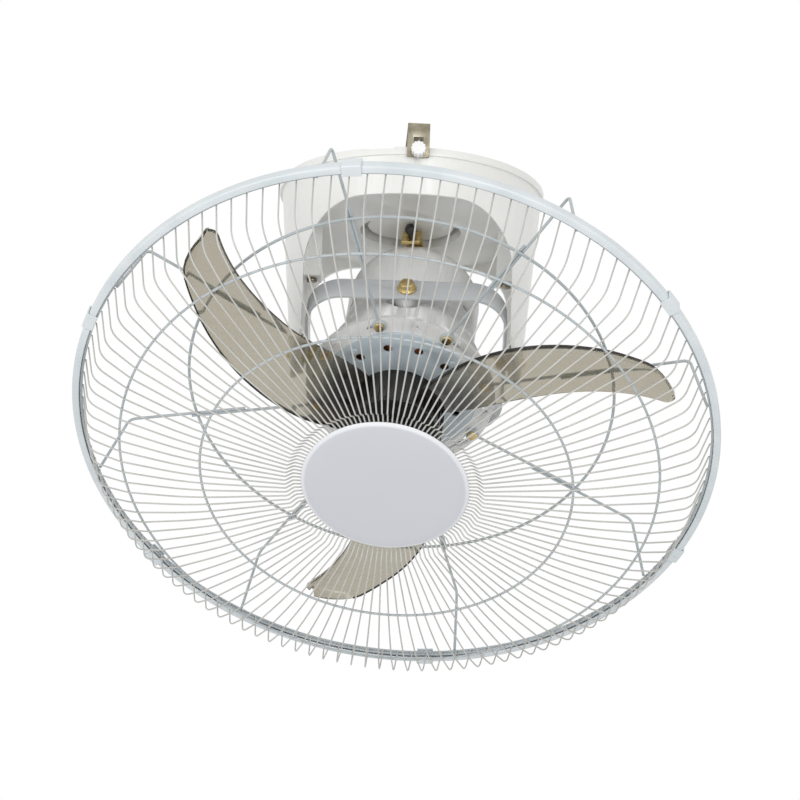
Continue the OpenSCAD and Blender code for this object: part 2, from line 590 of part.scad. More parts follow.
module guard_rim() color(guard) at_head() translate([0, 0, -rim_rear - rim_h]) rotate_extrude($fn = 180) translate([rim_r - rim_w, 0]) difference() {
    square([rim_w, rim_h]);
    translate([-1, rim_t]) square([rim_w + 1 - rim_t, rim_h - 2 * rim_t]);
}
module rim_clips() color(guard) at_head() for (k = [0 : clip_count - 1]) az(-7 + k * 360 / clip_count - 1.6)
    rotate_extrude(angle = 3.2, $fn = 180) difference() {
        translate([rim_r - rim_w - 1.4, -rim_rear - rim_h - 1.2]) square([rim_w + 2.8, rim_h + 2.4]);
        translate([rim_r - rim_w - 2.4, -rim_rear - rim_h - seat_gap]) square([rim_w + 2.4 + seat_gap, rim_h + 2 * seat_gap]);
    }
module spoke_leg(a, b) {
    d = b - a;
    translate([a[0], a[1], a[2]]) rotate([0, 0, atan2(d[1], d[0])]) rotate([0, atan2(norm([d[0], d[1]]), d[2]), 0]) cylinder(h = norm(d), d = spoke_d, $fn = 24);
}
module knee(p) translate(p) sphere(d = spoke_d + 0.08);
function spoke_z(r) = -(44 + (218 - r) * (eye_h - 44) / (218 - eye_r));
module spoke_circle() for (k = [0 : spoke_count - 1]) az(spoke_azimuth + k * 360 / spoke_count) children();
module rear_guard_spokes() color(guard) at_head() spoke_circle() {
    o = spoke_d + 0.05;
    w = spoke_out;
    spoke_leg([w, o, -edge_z + 1.1], [w - 10, o, -49.6]);
    knee([w - 10, o, -49.6]);
    spoke_leg([w - 10, o, -49.6], [w - 16, o, spoke_z(w - 16)]);
    knee([w - 16, o, spoke_z(w - 16)]);
    spoke_leg([w - 16, o, spoke_z(w - 16)], [120, o, spoke_z(120)]);
    spoke_leg([163, 0, spoke_z(163)], [eye_r + 4.6, 0, spoke_z(eye_r + 4.6)]);
    translate([eye_r, 0, -eye_h - spoke_d / 2]) tube(1.7, 5, spoke_d);
}
module rear_guard_ring() color(guard) at_head() {
    translate([0, 0, spoke_z(rear_ring_r) - spoke_d - 0.04]) hoop(rear_ring_r, spoke_d);
    translate([0, 0, -edge_z + edge_d / 2 + 0.1]) hoop(edge_r, edge_d);
}
module spoke_screws() color(brass) at_head() spoke_circle() translate([eye_r, 0, -eye_h - spoke_d / 2 - seat_gap]) {
    translate([0, 0, -2.3]) cylinder(h = 2.3, r = 3.6);
    translate([0, 0, -1]) cylinder(h = 10, r = 1.5);
}
module centre_cap() color([0.8, 0.81, 0.84]) at_head() translate([0, 0, -cap_seat]) rotate_extrude($fn = 128) difference() {
    polygon([[0, -3.4], [40, -3], [cap_r - 3, -2.2], [cap_r, -0.8], [cap_r, 0], [0, 0]]);
    translate([-1, -1.4]) square([cap_r - 1.5, 3]);
}
module cap_backplate() color([0.8, 0.81, 0.84]) at_head() {
    translate([0, 0, -wire_in_z + wire_d / 2 + seat_gap]) tube(6, 50.2, 1.6);
    translate([0, 0, -cap_seat - 1.3]) tube(6, 10, 3.5);
}

ceiling_strap();
thumb_screws();
canopy();
terminal_block();
capacitor();
lead_wires();
leg_bushes();
leg_screws();
orbit_socket();
gimbal_ring();
leg_pivot_bolts();
leg_pivot_nuts();
ring_bushes();
motor_pivot_bolts();
motor_can();
front_plate();
rear_housing();
housing_screws();
stator_core();
stator_windings();
front_bearing();
rear_bearing();
gear_plate();
front_guard_wires();
front_guard_rings();
guard_rim();
rim_clips();
rear_guard_spokes();
rear_guard_ring();
spoke_screws();
centre_cap();
cap_backplate();
rotor_core();
shaft();
worm();
fan_blades();
spinner_nut();
worm_wheel();
cross_shaft();
idler_gear();
idler_spindle();
crank_gear();
crank_shaft();
crank_arm();
crank_ball();
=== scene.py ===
"""Looks of an orbital ceiling fan: a caged head that leans in a gimbal ring under a round canopy."""

import json
import logging
import math
from dataclasses import dataclass
from enum import Enum
from typing import Any, Callable, Optional, Sequence, Union

import bmesh
import bpy
from mathutils import Matrix, Vector


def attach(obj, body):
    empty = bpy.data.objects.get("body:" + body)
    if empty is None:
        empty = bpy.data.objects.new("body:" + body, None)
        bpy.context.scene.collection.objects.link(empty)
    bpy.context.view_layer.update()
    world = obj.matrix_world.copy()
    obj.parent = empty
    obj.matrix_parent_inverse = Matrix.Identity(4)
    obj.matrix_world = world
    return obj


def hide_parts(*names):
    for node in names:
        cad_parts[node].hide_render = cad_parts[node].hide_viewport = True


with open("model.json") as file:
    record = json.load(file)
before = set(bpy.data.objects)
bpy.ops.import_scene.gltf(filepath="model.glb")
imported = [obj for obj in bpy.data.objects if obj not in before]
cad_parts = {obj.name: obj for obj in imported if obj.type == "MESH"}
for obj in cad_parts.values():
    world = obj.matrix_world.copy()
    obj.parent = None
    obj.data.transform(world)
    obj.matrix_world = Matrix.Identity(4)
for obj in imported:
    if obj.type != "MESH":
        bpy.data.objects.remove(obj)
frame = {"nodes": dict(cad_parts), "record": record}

LOG = logging.getLogger("orbital_fan")
MM = 0.001
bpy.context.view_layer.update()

# Vertices nearer to each other than this, in metres, are one.
CAD_DOUBLE = 0.00001
TURNED_DOUBLE = 0.000002
SHEET_DOUBLE = 0.000001

# How finely round shapes are divided.
TURNED_STEPS = 96
BEND_STEPS = 6
RING_STEPS = 180
RING_SIDES = 10
SPOKE_SIDES = 12
WIRE_SIDES = 8

# Angles between faces, in degrees: flat enough to be one face, and sharp enough to stay an edge.
FLAT_DEGREES = 1.0
SHARP_DEGREES = 32.0
SHADE_DEGREES = 35.0
TURNED_DEGREES = 40.0
ROUND_DEGREES = 50.0
RING_DEGREES = 60.0


# ---------------------------------------------------------------- the frame's own places

def joint(name: str) -> dict:
    """The record's joint of that name."""
    return next(j for j in frame["record"]["behaviour"]["joints"] if j["name"] == name)


def axes_matrix(origin: Vector, x_axis: Vector, z_axis: Vector) -> Matrix:
    """The place of a local frame.

    Args:
        origin: Where the local frame's origin lies, in metres.
        x_axis: Its X axis.
        z_axis: Its Z axis.

    Returns:
        The matrix from the local frame to the row frame.
    """
    z_axis = z_axis.normalized()
    y_axis = z_axis.cross(x_axis).normalized()
    turn = Matrix((y_axis.cross(z_axis), y_axis, z_axis)).transposed()
    return Matrix.Translation(origin) @ turn.to_4x4()


PIVOT = Vector(joint("ring_tilt")["pos_m"])
HEAD_Z = Vector(joint("rotor_spin")["axis"])
HEAD_ZERO = 4.0  # how far behind the pivot the head's heights start, in millimetres
HEAD = axes_matrix(PIVOT + HEAD_Z * HEAD_ZERO * MM, Vector(joint("worm_turn")["axis"]), HEAD_Z)
IN_PLACE = Matrix.Identity(4)


# ---------------------------------------------------------------- shader maths

Value = Union["Signal", float, int]


class Signal:
    """A shader socket that takes part in arithmetic."""

    def __init__(self, nodes: "NodeTree", socket: Any) -> None:
        """Wraps a socket of a node tree."""
        self.nodes = nodes
        self.socket = socket

    def _math(self, operation: str, other: Value) -> "Signal":
        """Adds a Math node.

        Args:
            operation: The Math node's operation.
            other: Its second value or link; this signal is its first.

        Returns:
            The node's result.
        """
        return self.nodes.node("ShaderNodeMath", {"operation": operation}, {0: self, 1: other})

    def __add__(self, other: Value) -> "Signal":
        """The sum of both."""
        return self._math("ADD", other)

    __radd__ = __add__

    def __mul__(self, other: Value) -> "Signal":
        """The product of both."""
        return self._math("MULTIPLY", other)

    __rmul__ = __mul__

    def larger(self, other: Value) -> "Signal":
        """The larger of both."""
        return self._math("MAXIMUM", other)

    def step(self, low: float, high: float) -> "Signal":
        """A smooth step from 0 at low to 1 at high."""
        return self.nodes.node("ShaderNodeMapRange", {"interpolation_type": "SMOOTHSTEP"},
                               {"Value": self, "From Min": low, "From Max": high})


class NodeTree:
    """The node tree of a material or world under construction."""

    def __init__(self, owner: Any) -> None:
        """Switches on the nodes of the material or world."""
        owner.use_nodes = True
        self.tree = owner.node_tree

    def link(self, value: Any, socket: Any) -> None:
        """Sets a socket to a number or colour, or links a signal to it."""
        if isinstance(value, Signal):
            self.tree.links.new(value.socket, socket)
        elif isinstance(value, (tuple, list)) and len(value) == 3 and socket.type == "RGBA":
            socket.default_value = (*value, 1.0)
        else:
            socket.default_value = value

    def node(self, kind: str, settings: Optional[dict] = None, inputs: Optional[dict] = None,
             output: Union[int, str] = 0) -> Signal:
        """Adds a node.

        Args:
            kind: The node's type.
            settings: Its properties, which are set first.
            inputs: Values or signals by socket name or number.
            output: The output socket that is handed back.

        Returns:
            The output as a signal.
        """
        made = self.tree.nodes.new(kind)
        for key, value in (settings or {}).items():
            setattr(made, key, value)
        for key, value in (inputs or {}).items():
            self.link(value, made.inputs[key])
        return Signal(self, made.outputs[output])


class Look(NodeTree):
    """One procedural material under construction."""

    MIX_MASK, MIX_LOW, MIX_HIGH, MIX_COLOUR = 0, 6, 7, 2

    def __init__(self, name: str) -> None:
        """Starts a material with a Principled surface."""
        self.material = bpy.data.materials.new(name)
        super().__init__(self.material)
        self.surface = self.tree.nodes["Principled BSDF"]

    def coordinates(self) -> Signal:
        """The piece's own Object coordinates."""
        return self.node("ShaderNodeTexCoord", output="Object")

    def noise(self, scale: float, detail: float = 3.0) -> Signal:
        """Noise over Object coordinates, of a scale in cycles per metre."""
        return self.node("ShaderNodeTexNoise", {}, {"Vector": self.coordinates(), "Scale": scale, "Detail": detail})

    def from_axis(self) -> Signal:
        """The distance from the motor's axis, in metres."""
        offset = self.node("ShaderNodeVectorMath", {"operation": "SUBTRACT"}, {0: self.coordinates(), 1: tuple(PIVOT)})
        across = self.node("ShaderNodeVectorMath", {"operation": "CROSS_PRODUCT"}, {0: offset, 1: tuple(HEAD_Z)})
        return self.node("ShaderNodeVectorMath", {"operation": "LENGTH"}, {0: across}, "Value")

    def blend(self, mask: Value, low: Any, high: Any) -> Signal:
        """Mixes two colours.

        Args:
            mask: 0 gives low and 1 gives high.
            low: The first colour.
            high: The second colour.

        Returns:
            The mixed colour.
        """
        return self.node("ShaderNodeMix", {"data_type": "RGBA"},
                         {self.MIX_MASK: mask, self.MIX_LOW: low, self.MIX_HIGH: high}, self.MIX_COLOUR)

    def bump(self, height: Signal, strength: float, distance: float) -> None:
        """Feeds a height into the surface's normal."""
        normal = self.node("ShaderNodeBump", {}, {"Height": height, "Strength": strength, "Distance": distance})
        self.link(normal, self.surface.inputs["Normal"])

    def finish(self, **sockets: Any) -> bpy.types.Material:
        """Sets the surface's sockets, whose names have underscores for spaces.

        Returns:
            The material.
        """
        for key, value in sockets.items():
            self.link(value, self.surface.inputs[key.replace("_", " ")])
        return self.material


Colour = tuple[float, float, float]


@dataclass(frozen=True)
class Enamel:
    """Epoxy enamel baked on wire and sheet, slightly pooled and dusty."""

    name: str = "guard_enamel"
    colour: Colour = (0.50, 0.545, 0.56)
    shade: Colour = (0.43, 0.475, 0.495)
    roughness: float = 0.28
    pool_scale: float = 35.0
    grain_scale: float = 900.0
    grain_depth: float = 0.0003

    def make(self) -> bpy.types.Material:
        """The enamel's material."""
        look = Look(self.name)
        pooled = look.noise(self.pool_scale)
        look.bump(look.noise(self.grain_scale, 2.0), 0.06, self.grain_depth)
        return look.finish(Base_Color=look.blend(pooled.step(0.3, 0.7), self.shade, self.colour),
                           Roughness=pooled * 0.12 + self.roughness, Coat_Weight=0.3, Coat_Roughness=0.12)


@dataclass(frozen=True)
class Moulded:
    """Moulded plastic with a fine grain and faint flow clouds, in another colour past edge_start from the axis."""

    name: str
    colour: Colour
    shade: Colour
    roughness: float = 0.35
    grain: float = 0.05
    coat: float = 0.1
    edge_start: float = 1.0
    edge: Colour = (0.8, 0.8, 0.8)
    edge_width: float = 0.0025
    cloud_scale: float = 14.0
    grain_scale: float = 1400.0
    grain_depth: float = 0.0002

    def make(self) -> bpy.types.Material:
        """The plastic's material."""
        look = Look(self.name)
        cloud = look.noise(self.cloud_scale)
        skin = look.blend(cloud.step(0.3, 0.75), self.shade, self.colour)
        past_edge = look.from_axis().step(self.edge_start, self.edge_start + self.edge_width)
        skin = look.blend(past_edge, skin, self.edge)
        look.bump(look.noise(self.grain_scale, 2.0), self.grain, self.grain_depth)
        return look.finish(Base_Color=skin, Roughness=cloud * 0.1 + self.roughness, Coat_Weight=self.coat,
                           Coat_Roughness=0.15)


@dataclass(frozen=True)
class Smoke:
    """Smoke-tinted clear plastic, seen through as grey-brown, and darker near its root."""

    name: str
    colour: Colour
    transmission: float
    roughness: float = 0.06
    root: Colour = (0.10, 0.085, 0.07)
    root_end: float = 0.046
    tint_start: float = 0.074
    warmth: Colour = (0.96, 0.93, 0.88)
    cloud_scale: float = 22.0
    refraction: float = 1.46

    def make(self) -> bpy.types.Material:
        """The tinted plastic's material."""
        look = Look(self.name)
        cloud = look.noise(self.cloud_scale)
        warm = tuple(channel * factor for channel, factor in zip(self.colour, self.warmth))
        past_root = look.from_axis().step(self.root_end, self.tint_start)
        tint = look.blend(past_root, self.root, look.blend(cloud, self.colour, warm))
        return look.finish(Base_Color=tint, Roughness=cloud * 0.05 + self.roughness,
                           Transmission_Weight=self.transmission, IOR=self.refraction)


@dataclass(frozen=True)
class Plated:
    """Metal with a plated or brushed skin and slight tarnish."""

    name: str
    colour: Colour
    tarnish: Colour
    roughness: float = 0.25
    patch_scale: float = 120.0
    grain_scale: float = 2200.0
    grain_depth: float = 0.0001

    def make(self) -> bpy.types.Material:
        """The metal's material."""
        look = Look(self.name)
        patch = look.noise(self.patch_scale)
        look.bump(look.noise(self.grain_scale, 2.0), 0.05, self.grain_depth)
        return look.finish(Base_Color=look.blend(patch.step(0.35, 0.7), self.colour, self.tarnish),
                           Roughness=patch * 0.2 + self.roughness, Metallic=1.0)


@dataclass(frozen=True)
class Wound:
    """Enamelled copper wire, wound tightly, with painted shade in the grooves between turns and a painted highlight on
    their crests.
    """

    name: str = "copper_winding"
    # painted shade for the grooves between turns, and a painted highlight for their crests
    painted_valley_shade: Colour = (0.32, 0.1, 0.03)
    painted_crest_highlight: Colour = (0.62, 0.27, 0.1)
    strand_scale: float = 900.0
    strand_depth: float = 0.0003

    def make(self) -> bpy.types.Material:
        """The winding's material."""
        look = Look(self.name)
        strands = look.node("ShaderNodeTexWave", {"wave_type": "RINGS", "rings_direction": "Z"},
                            {"Vector": look.coordinates(), "Scale": self.strand_scale, "Distortion": 0.4})
        look.bump(strands, 0.5, self.strand_depth)
        # the colour follows the strands' height: painted shade low, painted highlight high
        return look.finish(Base_Color=look.blend(strands, self.painted_valley_shade, self.painted_crest_highlight), Roughness=0.35, Metallic=0.8)


class Finish(Enum):
    """The finishes that the fan's pieces are given."""

    GUARD = Enamel()
    WIRE = Enamel("wire_enamel", (0.57, 0.565, 0.535), (0.49, 0.485, 0.46), 0.3)
    RIM = Enamel("rim_enamel", (0.72, 0.765, 0.785), (0.64, 0.69, 0.715), 0.25)
    MOTOR_PAINT = Enamel("motor_enamel", (0.88, 0.88, 0.87), (0.82, 0.82, 0.81), 0.3)
    STRIP = Enamel("strip_enamel", (0.56, 0.58, 0.595), (0.51, 0.53, 0.55), 0.3)
    PLATE = Enamel("plate_enamel", (0.58, 0.66, 0.70), (0.52, 0.60, 0.65), 0.3)
    CANOPY = Moulded("canopy_moulding", (0.87, 0.87, 0.85), (0.83, 0.83, 0.80), 0.3)
    CAP = Moulded("cap_moulding", (0.61, 0.624, 0.668), (0.595, 0.61, 0.65), 0.35, 0.02, 0.15,
                  0.0555, (0.82, 0.83, 0.86))
    WHITE = Moulded("white_moulding", (0.93, 0.93, 0.92), (0.9, 0.9, 0.89), 0.3)
    GEAR = Moulded("gear_moulding", (0.78, 0.75, 0.66), (0.72, 0.69, 0.6), 0.45)
    DARK = Moulded("dark_moulding", (0.03, 0.03, 0.03), (0.02, 0.02, 0.02), 0.4)
    COVER = Moulded("wire_cover", (0.65, 0.3, 0.05), (0.55, 0.24, 0.04), 0.45)
    SMOKE = Smoke("smoke_moulding", (0.47, 0.445, 0.37), 0.92)
    # near-black painted shade for the sheets along the blades' leading edges
    SMOKE_PAINTED_EDGE_SHADE = Smoke("smoke_painted_edge_shade", (0.012, 0.01, 0.008), 0.0, 0.15, (0.012, 0.01, 0.008))
    SMOKE_HUB = Smoke("smoke_hub", (0.03, 0.027, 0.024), 0.3, 0.2, (0.012, 0.011, 0.01))
    BRASS = Plated("yellow_plate", (0.85, 0.66, 0.3), (0.62, 0.46, 0.2), 0.18)
    ZINC = Plated("bronze_zinc", (0.40, 0.37, 0.29), (0.17, 0.14, 0.09), 0.25, 60.0)
    STEEL = Plated("ground_steel", (0.62, 0.63, 0.64), (0.5, 0.5, 0.5), 0.3)
    COPPER = Wound()

    def material(self) -> bpy.types.Material:
        """The finish's material, made once."""
        return bpy.data.materials.get(self.value.name) or self.value.make()


# ---------------------------------------------------------------- modelling by operators

def deselect() -> None:
    """Leaves nothing selected and no object active."""
    if bpy.context.mode != "OBJECT":
        bpy.ops.object.mode_set(mode="OBJECT")
    bpy.ops.object.select_all(action="DESELECT")


def activate(*pieces: bpy.types.Object) -> None:
    """Selects these objects alone and makes the first active."""
    deselect()
    for piece in pieces:
        piece.select_set(True)
    bpy.context.view_layer.objects.active = pieces[0]


def apply_modifiers(piece: bpy.types.Object) -> None:
    """Applies all of a piece's modifiers in order."""
    activate(piece)
    for modifier in list(piece.modifiers):
        bpy.ops.object.modifier_apply(modifier=modifier.name)


def place(piece: bpy.types.Object, matrix: Matrix) -> bpy.types.Object:
    """Moves a piece by a matrix and puts its place into its mesh.

    Args:
        piece: The piece, modelled in a local frame.
        matrix: The local frame's place.

    Returns:
        The piece, with its object at the origin.
    """
    activate(piece)
    piece.matrix_world = matrix @ piece.matrix_world
    bpy.ops.object.transform_apply(location=True, rotation=True, scale=True)
    return piece


def join(name: str, pieces: Sequence[bpy.types.Object]) -> bpy.types.Object:
    """Joins pieces into one of that name."""
    activate(*pieces)
    if len(pieces) > 1:
        bpy.ops.object.join()
    whole = bpy.context.view_layer.objects.active
    whole.name = name
    whole.data.name = name
    return whole


def copy_of(piece: bpy.types.Object) -> bpy.types.Object:
    """A copy of a piece with a mesh of its own."""
    activate(piece)
    bpy.ops.object.duplicate()
    return bpy.context.view_layer.objects.active


def turned(piece: bpy.types.Object, angle: float) -> bpy.types.Object:
    """Turns a piece about the local Z axis, by an angle in radians."""
    return place(piece, Matrix.Rotation(angle, 4, "Z"))


def polar_copies(name: str, piece: bpy.types.Object, count: int) -> bpy.types.Object:
    """Copies a piece round the local Z axis.

    Args:
        name: The whole's name.
        piece: The piece in its first place.
        count: How many there are in the full turn.

    Returns:
        All copies as one piece.
    """
    copies = [piece]
    for index in range(1, count):
        copies.append(turned(copy_of(piece), math.tau * index / count))
    return join(name, copies)


def smooth(piece: bpy.types.Object, degrees: float = SHADE_DEGREES) -> bpy.types.Object:
    """Shades a piece smooth up to an angle between faces."""
    activate(piece)
    bpy.ops.object.shade_smooth_by_angle(angle=math.radians(degrees))
    return piece


def soften(piece: bpy.types.Object, width: float, segments: int = 2,
           degrees: float = SHARP_DEGREES) -> bpy.types.Object:
    """Rounds a piece's sharp edges.

    Args:
        piece: The piece.
        width: The bevel's width in metres.
        segments: The bevel's segments.
        degrees: The angle between faces from which an edge is sharp.

    Returns:
        The piece, smooth-shaded.
    """
    bevel = piece.modifiers.new("rounding", "BEVEL")
    bevel.width = width
    bevel.segments = segments
    bevel.limit_method = "ANGLE"
    bevel.angle_limit = math.radians(degrees)
    apply_modifiers(piece)
    return smooth(piece)


def merged(piece: bpy.types.Object, distance: float) -> None:
    """Merges a piece's doubled vertices and turns its faces outwards."""
    activate(piece)
    bpy.ops.object.mode_set(mode="EDIT")
    bpy.ops.mesh.select_all(action="SELECT")
    bpy.ops.mesh.remove_doubles(threshold=distance)
    bpy.ops.mesh.normals_make_consistent(inside=False)
    bpy.ops.object.mode_set(mode="OBJECT")


def lathe(name: str, profile: Sequence[tuple[float, float]], steps: int = TURNED_STEPS, closed: bool = True,
          angle: float = math.tau) -> bpy.types.Object:
    """Spins a profile about the local Z axis.

    Args:
        name: The piece's name.
        profile: Points as (radius, z) in millimetres.
        steps: Steps of the spin.
        closed: Whether the profile's last point joins its first.
        angle: How far it is spun, in radians.

    Returns:
        The turned piece.
    """
    deselect()
    bpy.ops.mesh.primitive_plane_add(size=MM)
    piece = bpy.context.view_layer.objects.active
    piece.name = name
    bpy.ops.object.mode_set(mode="EDIT")
    mesh = bmesh.from_edit_mesh(piece.data)
    bmesh.ops.delete(mesh, geom=list(mesh.verts), context="VERTS")
    points = [mesh.verts.new((radius * MM, 0.0, height * MM)) for radius, height in profile]
    for first, second in zip(points, points[1:] + (points[:1] if closed else [])):
        mesh.edges.new((first, second))
    bmesh.update_edit_mesh(piece.data)
    bpy.ops.mesh.select_all(action="SELECT")
    bpy.ops.mesh.spin(steps=steps, angle=-angle, center=(0, 0, 0), axis=(0, 0, 1))
    bpy.ops.mesh.select_all(action="SELECT")
    bpy.ops.mesh.remove_doubles(threshold=TURNED_DOUBLE)
    if closed and angle < math.tau:
        bpy.ops.mesh.select_all(action="DESELECT")
        bpy.ops.mesh.select_non_manifold(extend=False)
        bpy.ops.mesh.edge_face_add()
        bpy.ops.mesh.select_all(action="SELECT")
    bpy.ops.mesh.normals_make_consistent(inside=False)
    bpy.ops.object.mode_set(mode="OBJECT")
    return smooth(piece, TURNED_DEGREES)


class WireBender:
    """Makes a round wire the way a wire-bending machine does: straights and bends, one after another."""

    def __init__(self, name: str, start: Vector, heading: Vector, diameter: float, sides: int) -> None:
        """Starts a wire.

        Args:
            name: The piece's name.
            start: The wire's first centre point, in millimetres.
            heading: The way that it leaves.
            diameter: Its diameter in millimetres.
            sides: Corners of its round section.
        """
        self.point = start.copy()
        self.heading = heading.normalized()
        deselect()
        turn = self.heading.to_track_quat("Z", "Y").to_euler()
        bpy.ops.mesh.primitive_circle_add(vertices=sides, radius=diameter / 2 * MM, fill_type="NGON",
                                          location=start * MM, rotation=turn)
        self.piece = bpy.context.view_layer.objects.active
        self.piece.name = name
        bpy.ops.object.transform_apply(location=True, rotation=True, scale=True)
        bpy.ops.object.mode_set(mode="EDIT")
        bpy.ops.mesh.select_all(action="SELECT")

    def straight(self, length: float) -> "WireBender":
        """Feeds a straight stretch, in millimetres."""
        step = self.heading * length
        bpy.ops.mesh.extrude_region_move(TRANSFORM_OT_translate={"value": step * MM})
        self.point += step
        return self

    def bend(self, radius: float, degrees: float, axis: Vector, steps: int) -> "WireBender":
        """Bends the wire.

        Args:
            radius: The bend's radius at the wire's centre, in millimetres.
            degrees: How far it turns, by the right-hand rule about axis; not less than 0.
            axis: The axis that it turns about, square to the heading.
            steps: Faces along the bend.

        Returns:
            This bender.
        """
        centre = self.point + axis.cross(self.heading).normalized() * radius
        turn = Matrix.Rotation(math.radians(degrees), 3, axis)
        bpy.ops.mesh.spin(steps=steps, angle=-math.radians(degrees), center=centre * MM, axis=axis)
        self.point = centre + turn @ (self.point - centre)
        self.heading = (turn @ self.heading).normalized()
        return self

    def done(self) -> bpy.types.Object:
        """Ends the wire and gives its piece."""
        bpy.ops.mesh.select_all(action="SELECT")
        bpy.ops.mesh.normals_make_consistent(inside=False)
        bpy.ops.object.mode_set(mode="OBJECT")
        return smooth(self.piece, ROUND_DEGREES)


def bent_wire(name: str, corners: Sequence[Vector], radii: Sequence[float], diameter: float, sides: int,
              steps: Sequence[int] = ()) -> bpy.types.Object:
    """A wire along corners that are rounded by bends.

    Args:
        name: The piece's name.
        corners: The corners that the straights would meet at, in millimetres.
        radii: The bend radius at each inner corner.
        diameter: The wire's diameter.
        sides: Corners of its round section.
        steps: Faces along each bend; BEND_STEPS where left out.

    Returns:
        The wire.
    """
    directions = [(b - a).normalized() for a, b in zip(corners, corners[1:])]
    bender = WireBender(name, corners[0], directions[0], diameter, sides)
    cut_before = 0.0
    for index, radius in enumerate(radii):
        first, second = directions[index], directions[index + 1]
        turn = first.angle(second)
        cut = radius * math.tan(turn / 2)
        bender.straight((corners[index + 1] - corners[index]).length - cut_before - cut)
        count = steps[index] if index < len(steps) else BEND_STEPS
        bender.bend(radius, math.degrees(turn), first.cross(second).normalized(), count)
        cut_before = cut
    bender.straight((corners[-1] - corners[-2]).length - cut_before)
    return bender.done()


def ring_wire(name: str, radius: float, height: float, diameter: float) -> bpy.types.Object:
    """A closed ring of wire about the local Z axis, with sizes in millimetres."""
    deselect()
    bpy.ops.mesh.primitive_torus_add(major_radius=radius * MM, minor_radius=diameter / 2 * MM,
                                     major_segments=RING_STEPS, minor_segments=RING_SIDES,
                                     location=(0, 0, height * MM))
    piece = bpy.context.view_layer.objects.active
    piece.name = name
    bpy.ops.object.transform_apply(location=True)
    return smooth(piece, RING_DEGREES)


def block(name: str, centre: tuple[float, float, float], size: tuple[float, float, float],
          rounding: float) -> bpy.types.Object:
    """A box with rounded edges.

    Args:
        name: The piece's name.
        centre: Its middle, in millimetres.
        size: Its edge lengths, in millimetres.
        rounding: The bevel's width in millimetres.

    Returns:
        The box.
    """
    deselect()
    bpy.ops.mesh.primitive_cube_add(size=1.0, location=[value * MM for value in centre])
    piece = bpy.context.view_layer.objects.active
    piece.name = name
    piece.scale = [value * MM for value in size]
    bpy.ops.object.transform_apply(location=True, rotation=True, scale=True)
    return soften(piece, rounding * MM)


def drawn_sheet(name: str, columns: int, rows: int, thickness: float, point: Callable[[float, float], Vector],
                even: bool = False) -> bpy.types.Object:
    """A sheet whose middle surface is drawn point by point.

    Args:
        name: The piece's name.
        columns: Faces across it.
        rows: Faces along it.
        thickness: Its thickness in millimetres.
        point: Gives the surface's point, in millimetres, at shares from 0 to 1 across and along.
        even: Whether the thickness is held even where the sheet bends.

    Returns:
        The thick sheet.
    """
    deselect()
    bpy.ops.mesh.primitive_grid_add(x_subdivisions=columns, y_subdivisions=rows, size=1.0)
    piece = bpy.context.view_layer.objects.active
    piece.name = name
    for vertex in piece.data.vertices:
        vertex.co = point(vertex.co.x + 0.5, vertex.co.y + 0.5) * MM
    thick = piece.modifiers.new("sheet", "SOLIDIFY")
    thick.thickness = thickness * MM
    thick.offset = 0.0
    thick.use_even_offset = even
    apply_modifiers(piece)
    merged(piece, SHEET_DOUBLE)
    return piece


def dressed_copy(name: str, node: str, rounding: float) -> bpy.types.Object:
    """A CAD node's merged copy with its edges rounded.

    Args:
        name: The piece's name.
        node: The CAD node.
        rounding: The bevel's width in millimetres.

    Returns:
        The copy, in place.
    """
    piece = copy_of(frame["nodes"][node])
    piece.parent = None
    piece.matrix_world = IN_PLACE
    piece.name = name
    merged(piece, CAD_DOUBLE)
    activate(piece)
    bpy.ops.object.mode_set(mode="EDIT")
    bpy.ops.mesh.select_all(action="SELECT")
    bpy.ops.mesh.dissolve_limited(angle_limit=math.radians(FLAT_DEGREES))
    bpy.ops.object.mode_set(mode="OBJECT")
    return soften(piece, rounding * MM)


def dress(mesh: bpy.types.Mesh, finish: Finish) -> None:
    """Gives a mesh one finish all over."""
    mesh.materials.clear()
    mesh.materials.append(finish.material())


def radial(radius: float, height: float, azimuth: float = 0.0) -> Vector:
    """A point of the head's frame in millimetres; azimuth runs from the near side (-Y) towards +X."""
    angle = math.radians(azimuth)
    return Vector((radius * math.sin(angle), -radius * math.cos(angle), -height))


def settle(piece: bpy.types.Object, matrix: Matrix, body: str, finish: Finish,
           nodes: Sequence[str] = ()) -> None:
    """Args:
        piece: The piece in its local frame.
        matrix: The local frame's place.
        body: The CAD body that it rides on.
        finish: Its finish.
        nodes: CAD nodes that it replaces.
    """
    place(piece, matrix)
    dress(piece.data, finish)
    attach(piece, body)
    if nodes:
        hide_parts(*nodes)
    LOG.info("%s: %d faces on %s", piece.name, len(piece.data.polygons), body)


# ---------------------------------------------------------------- the guard

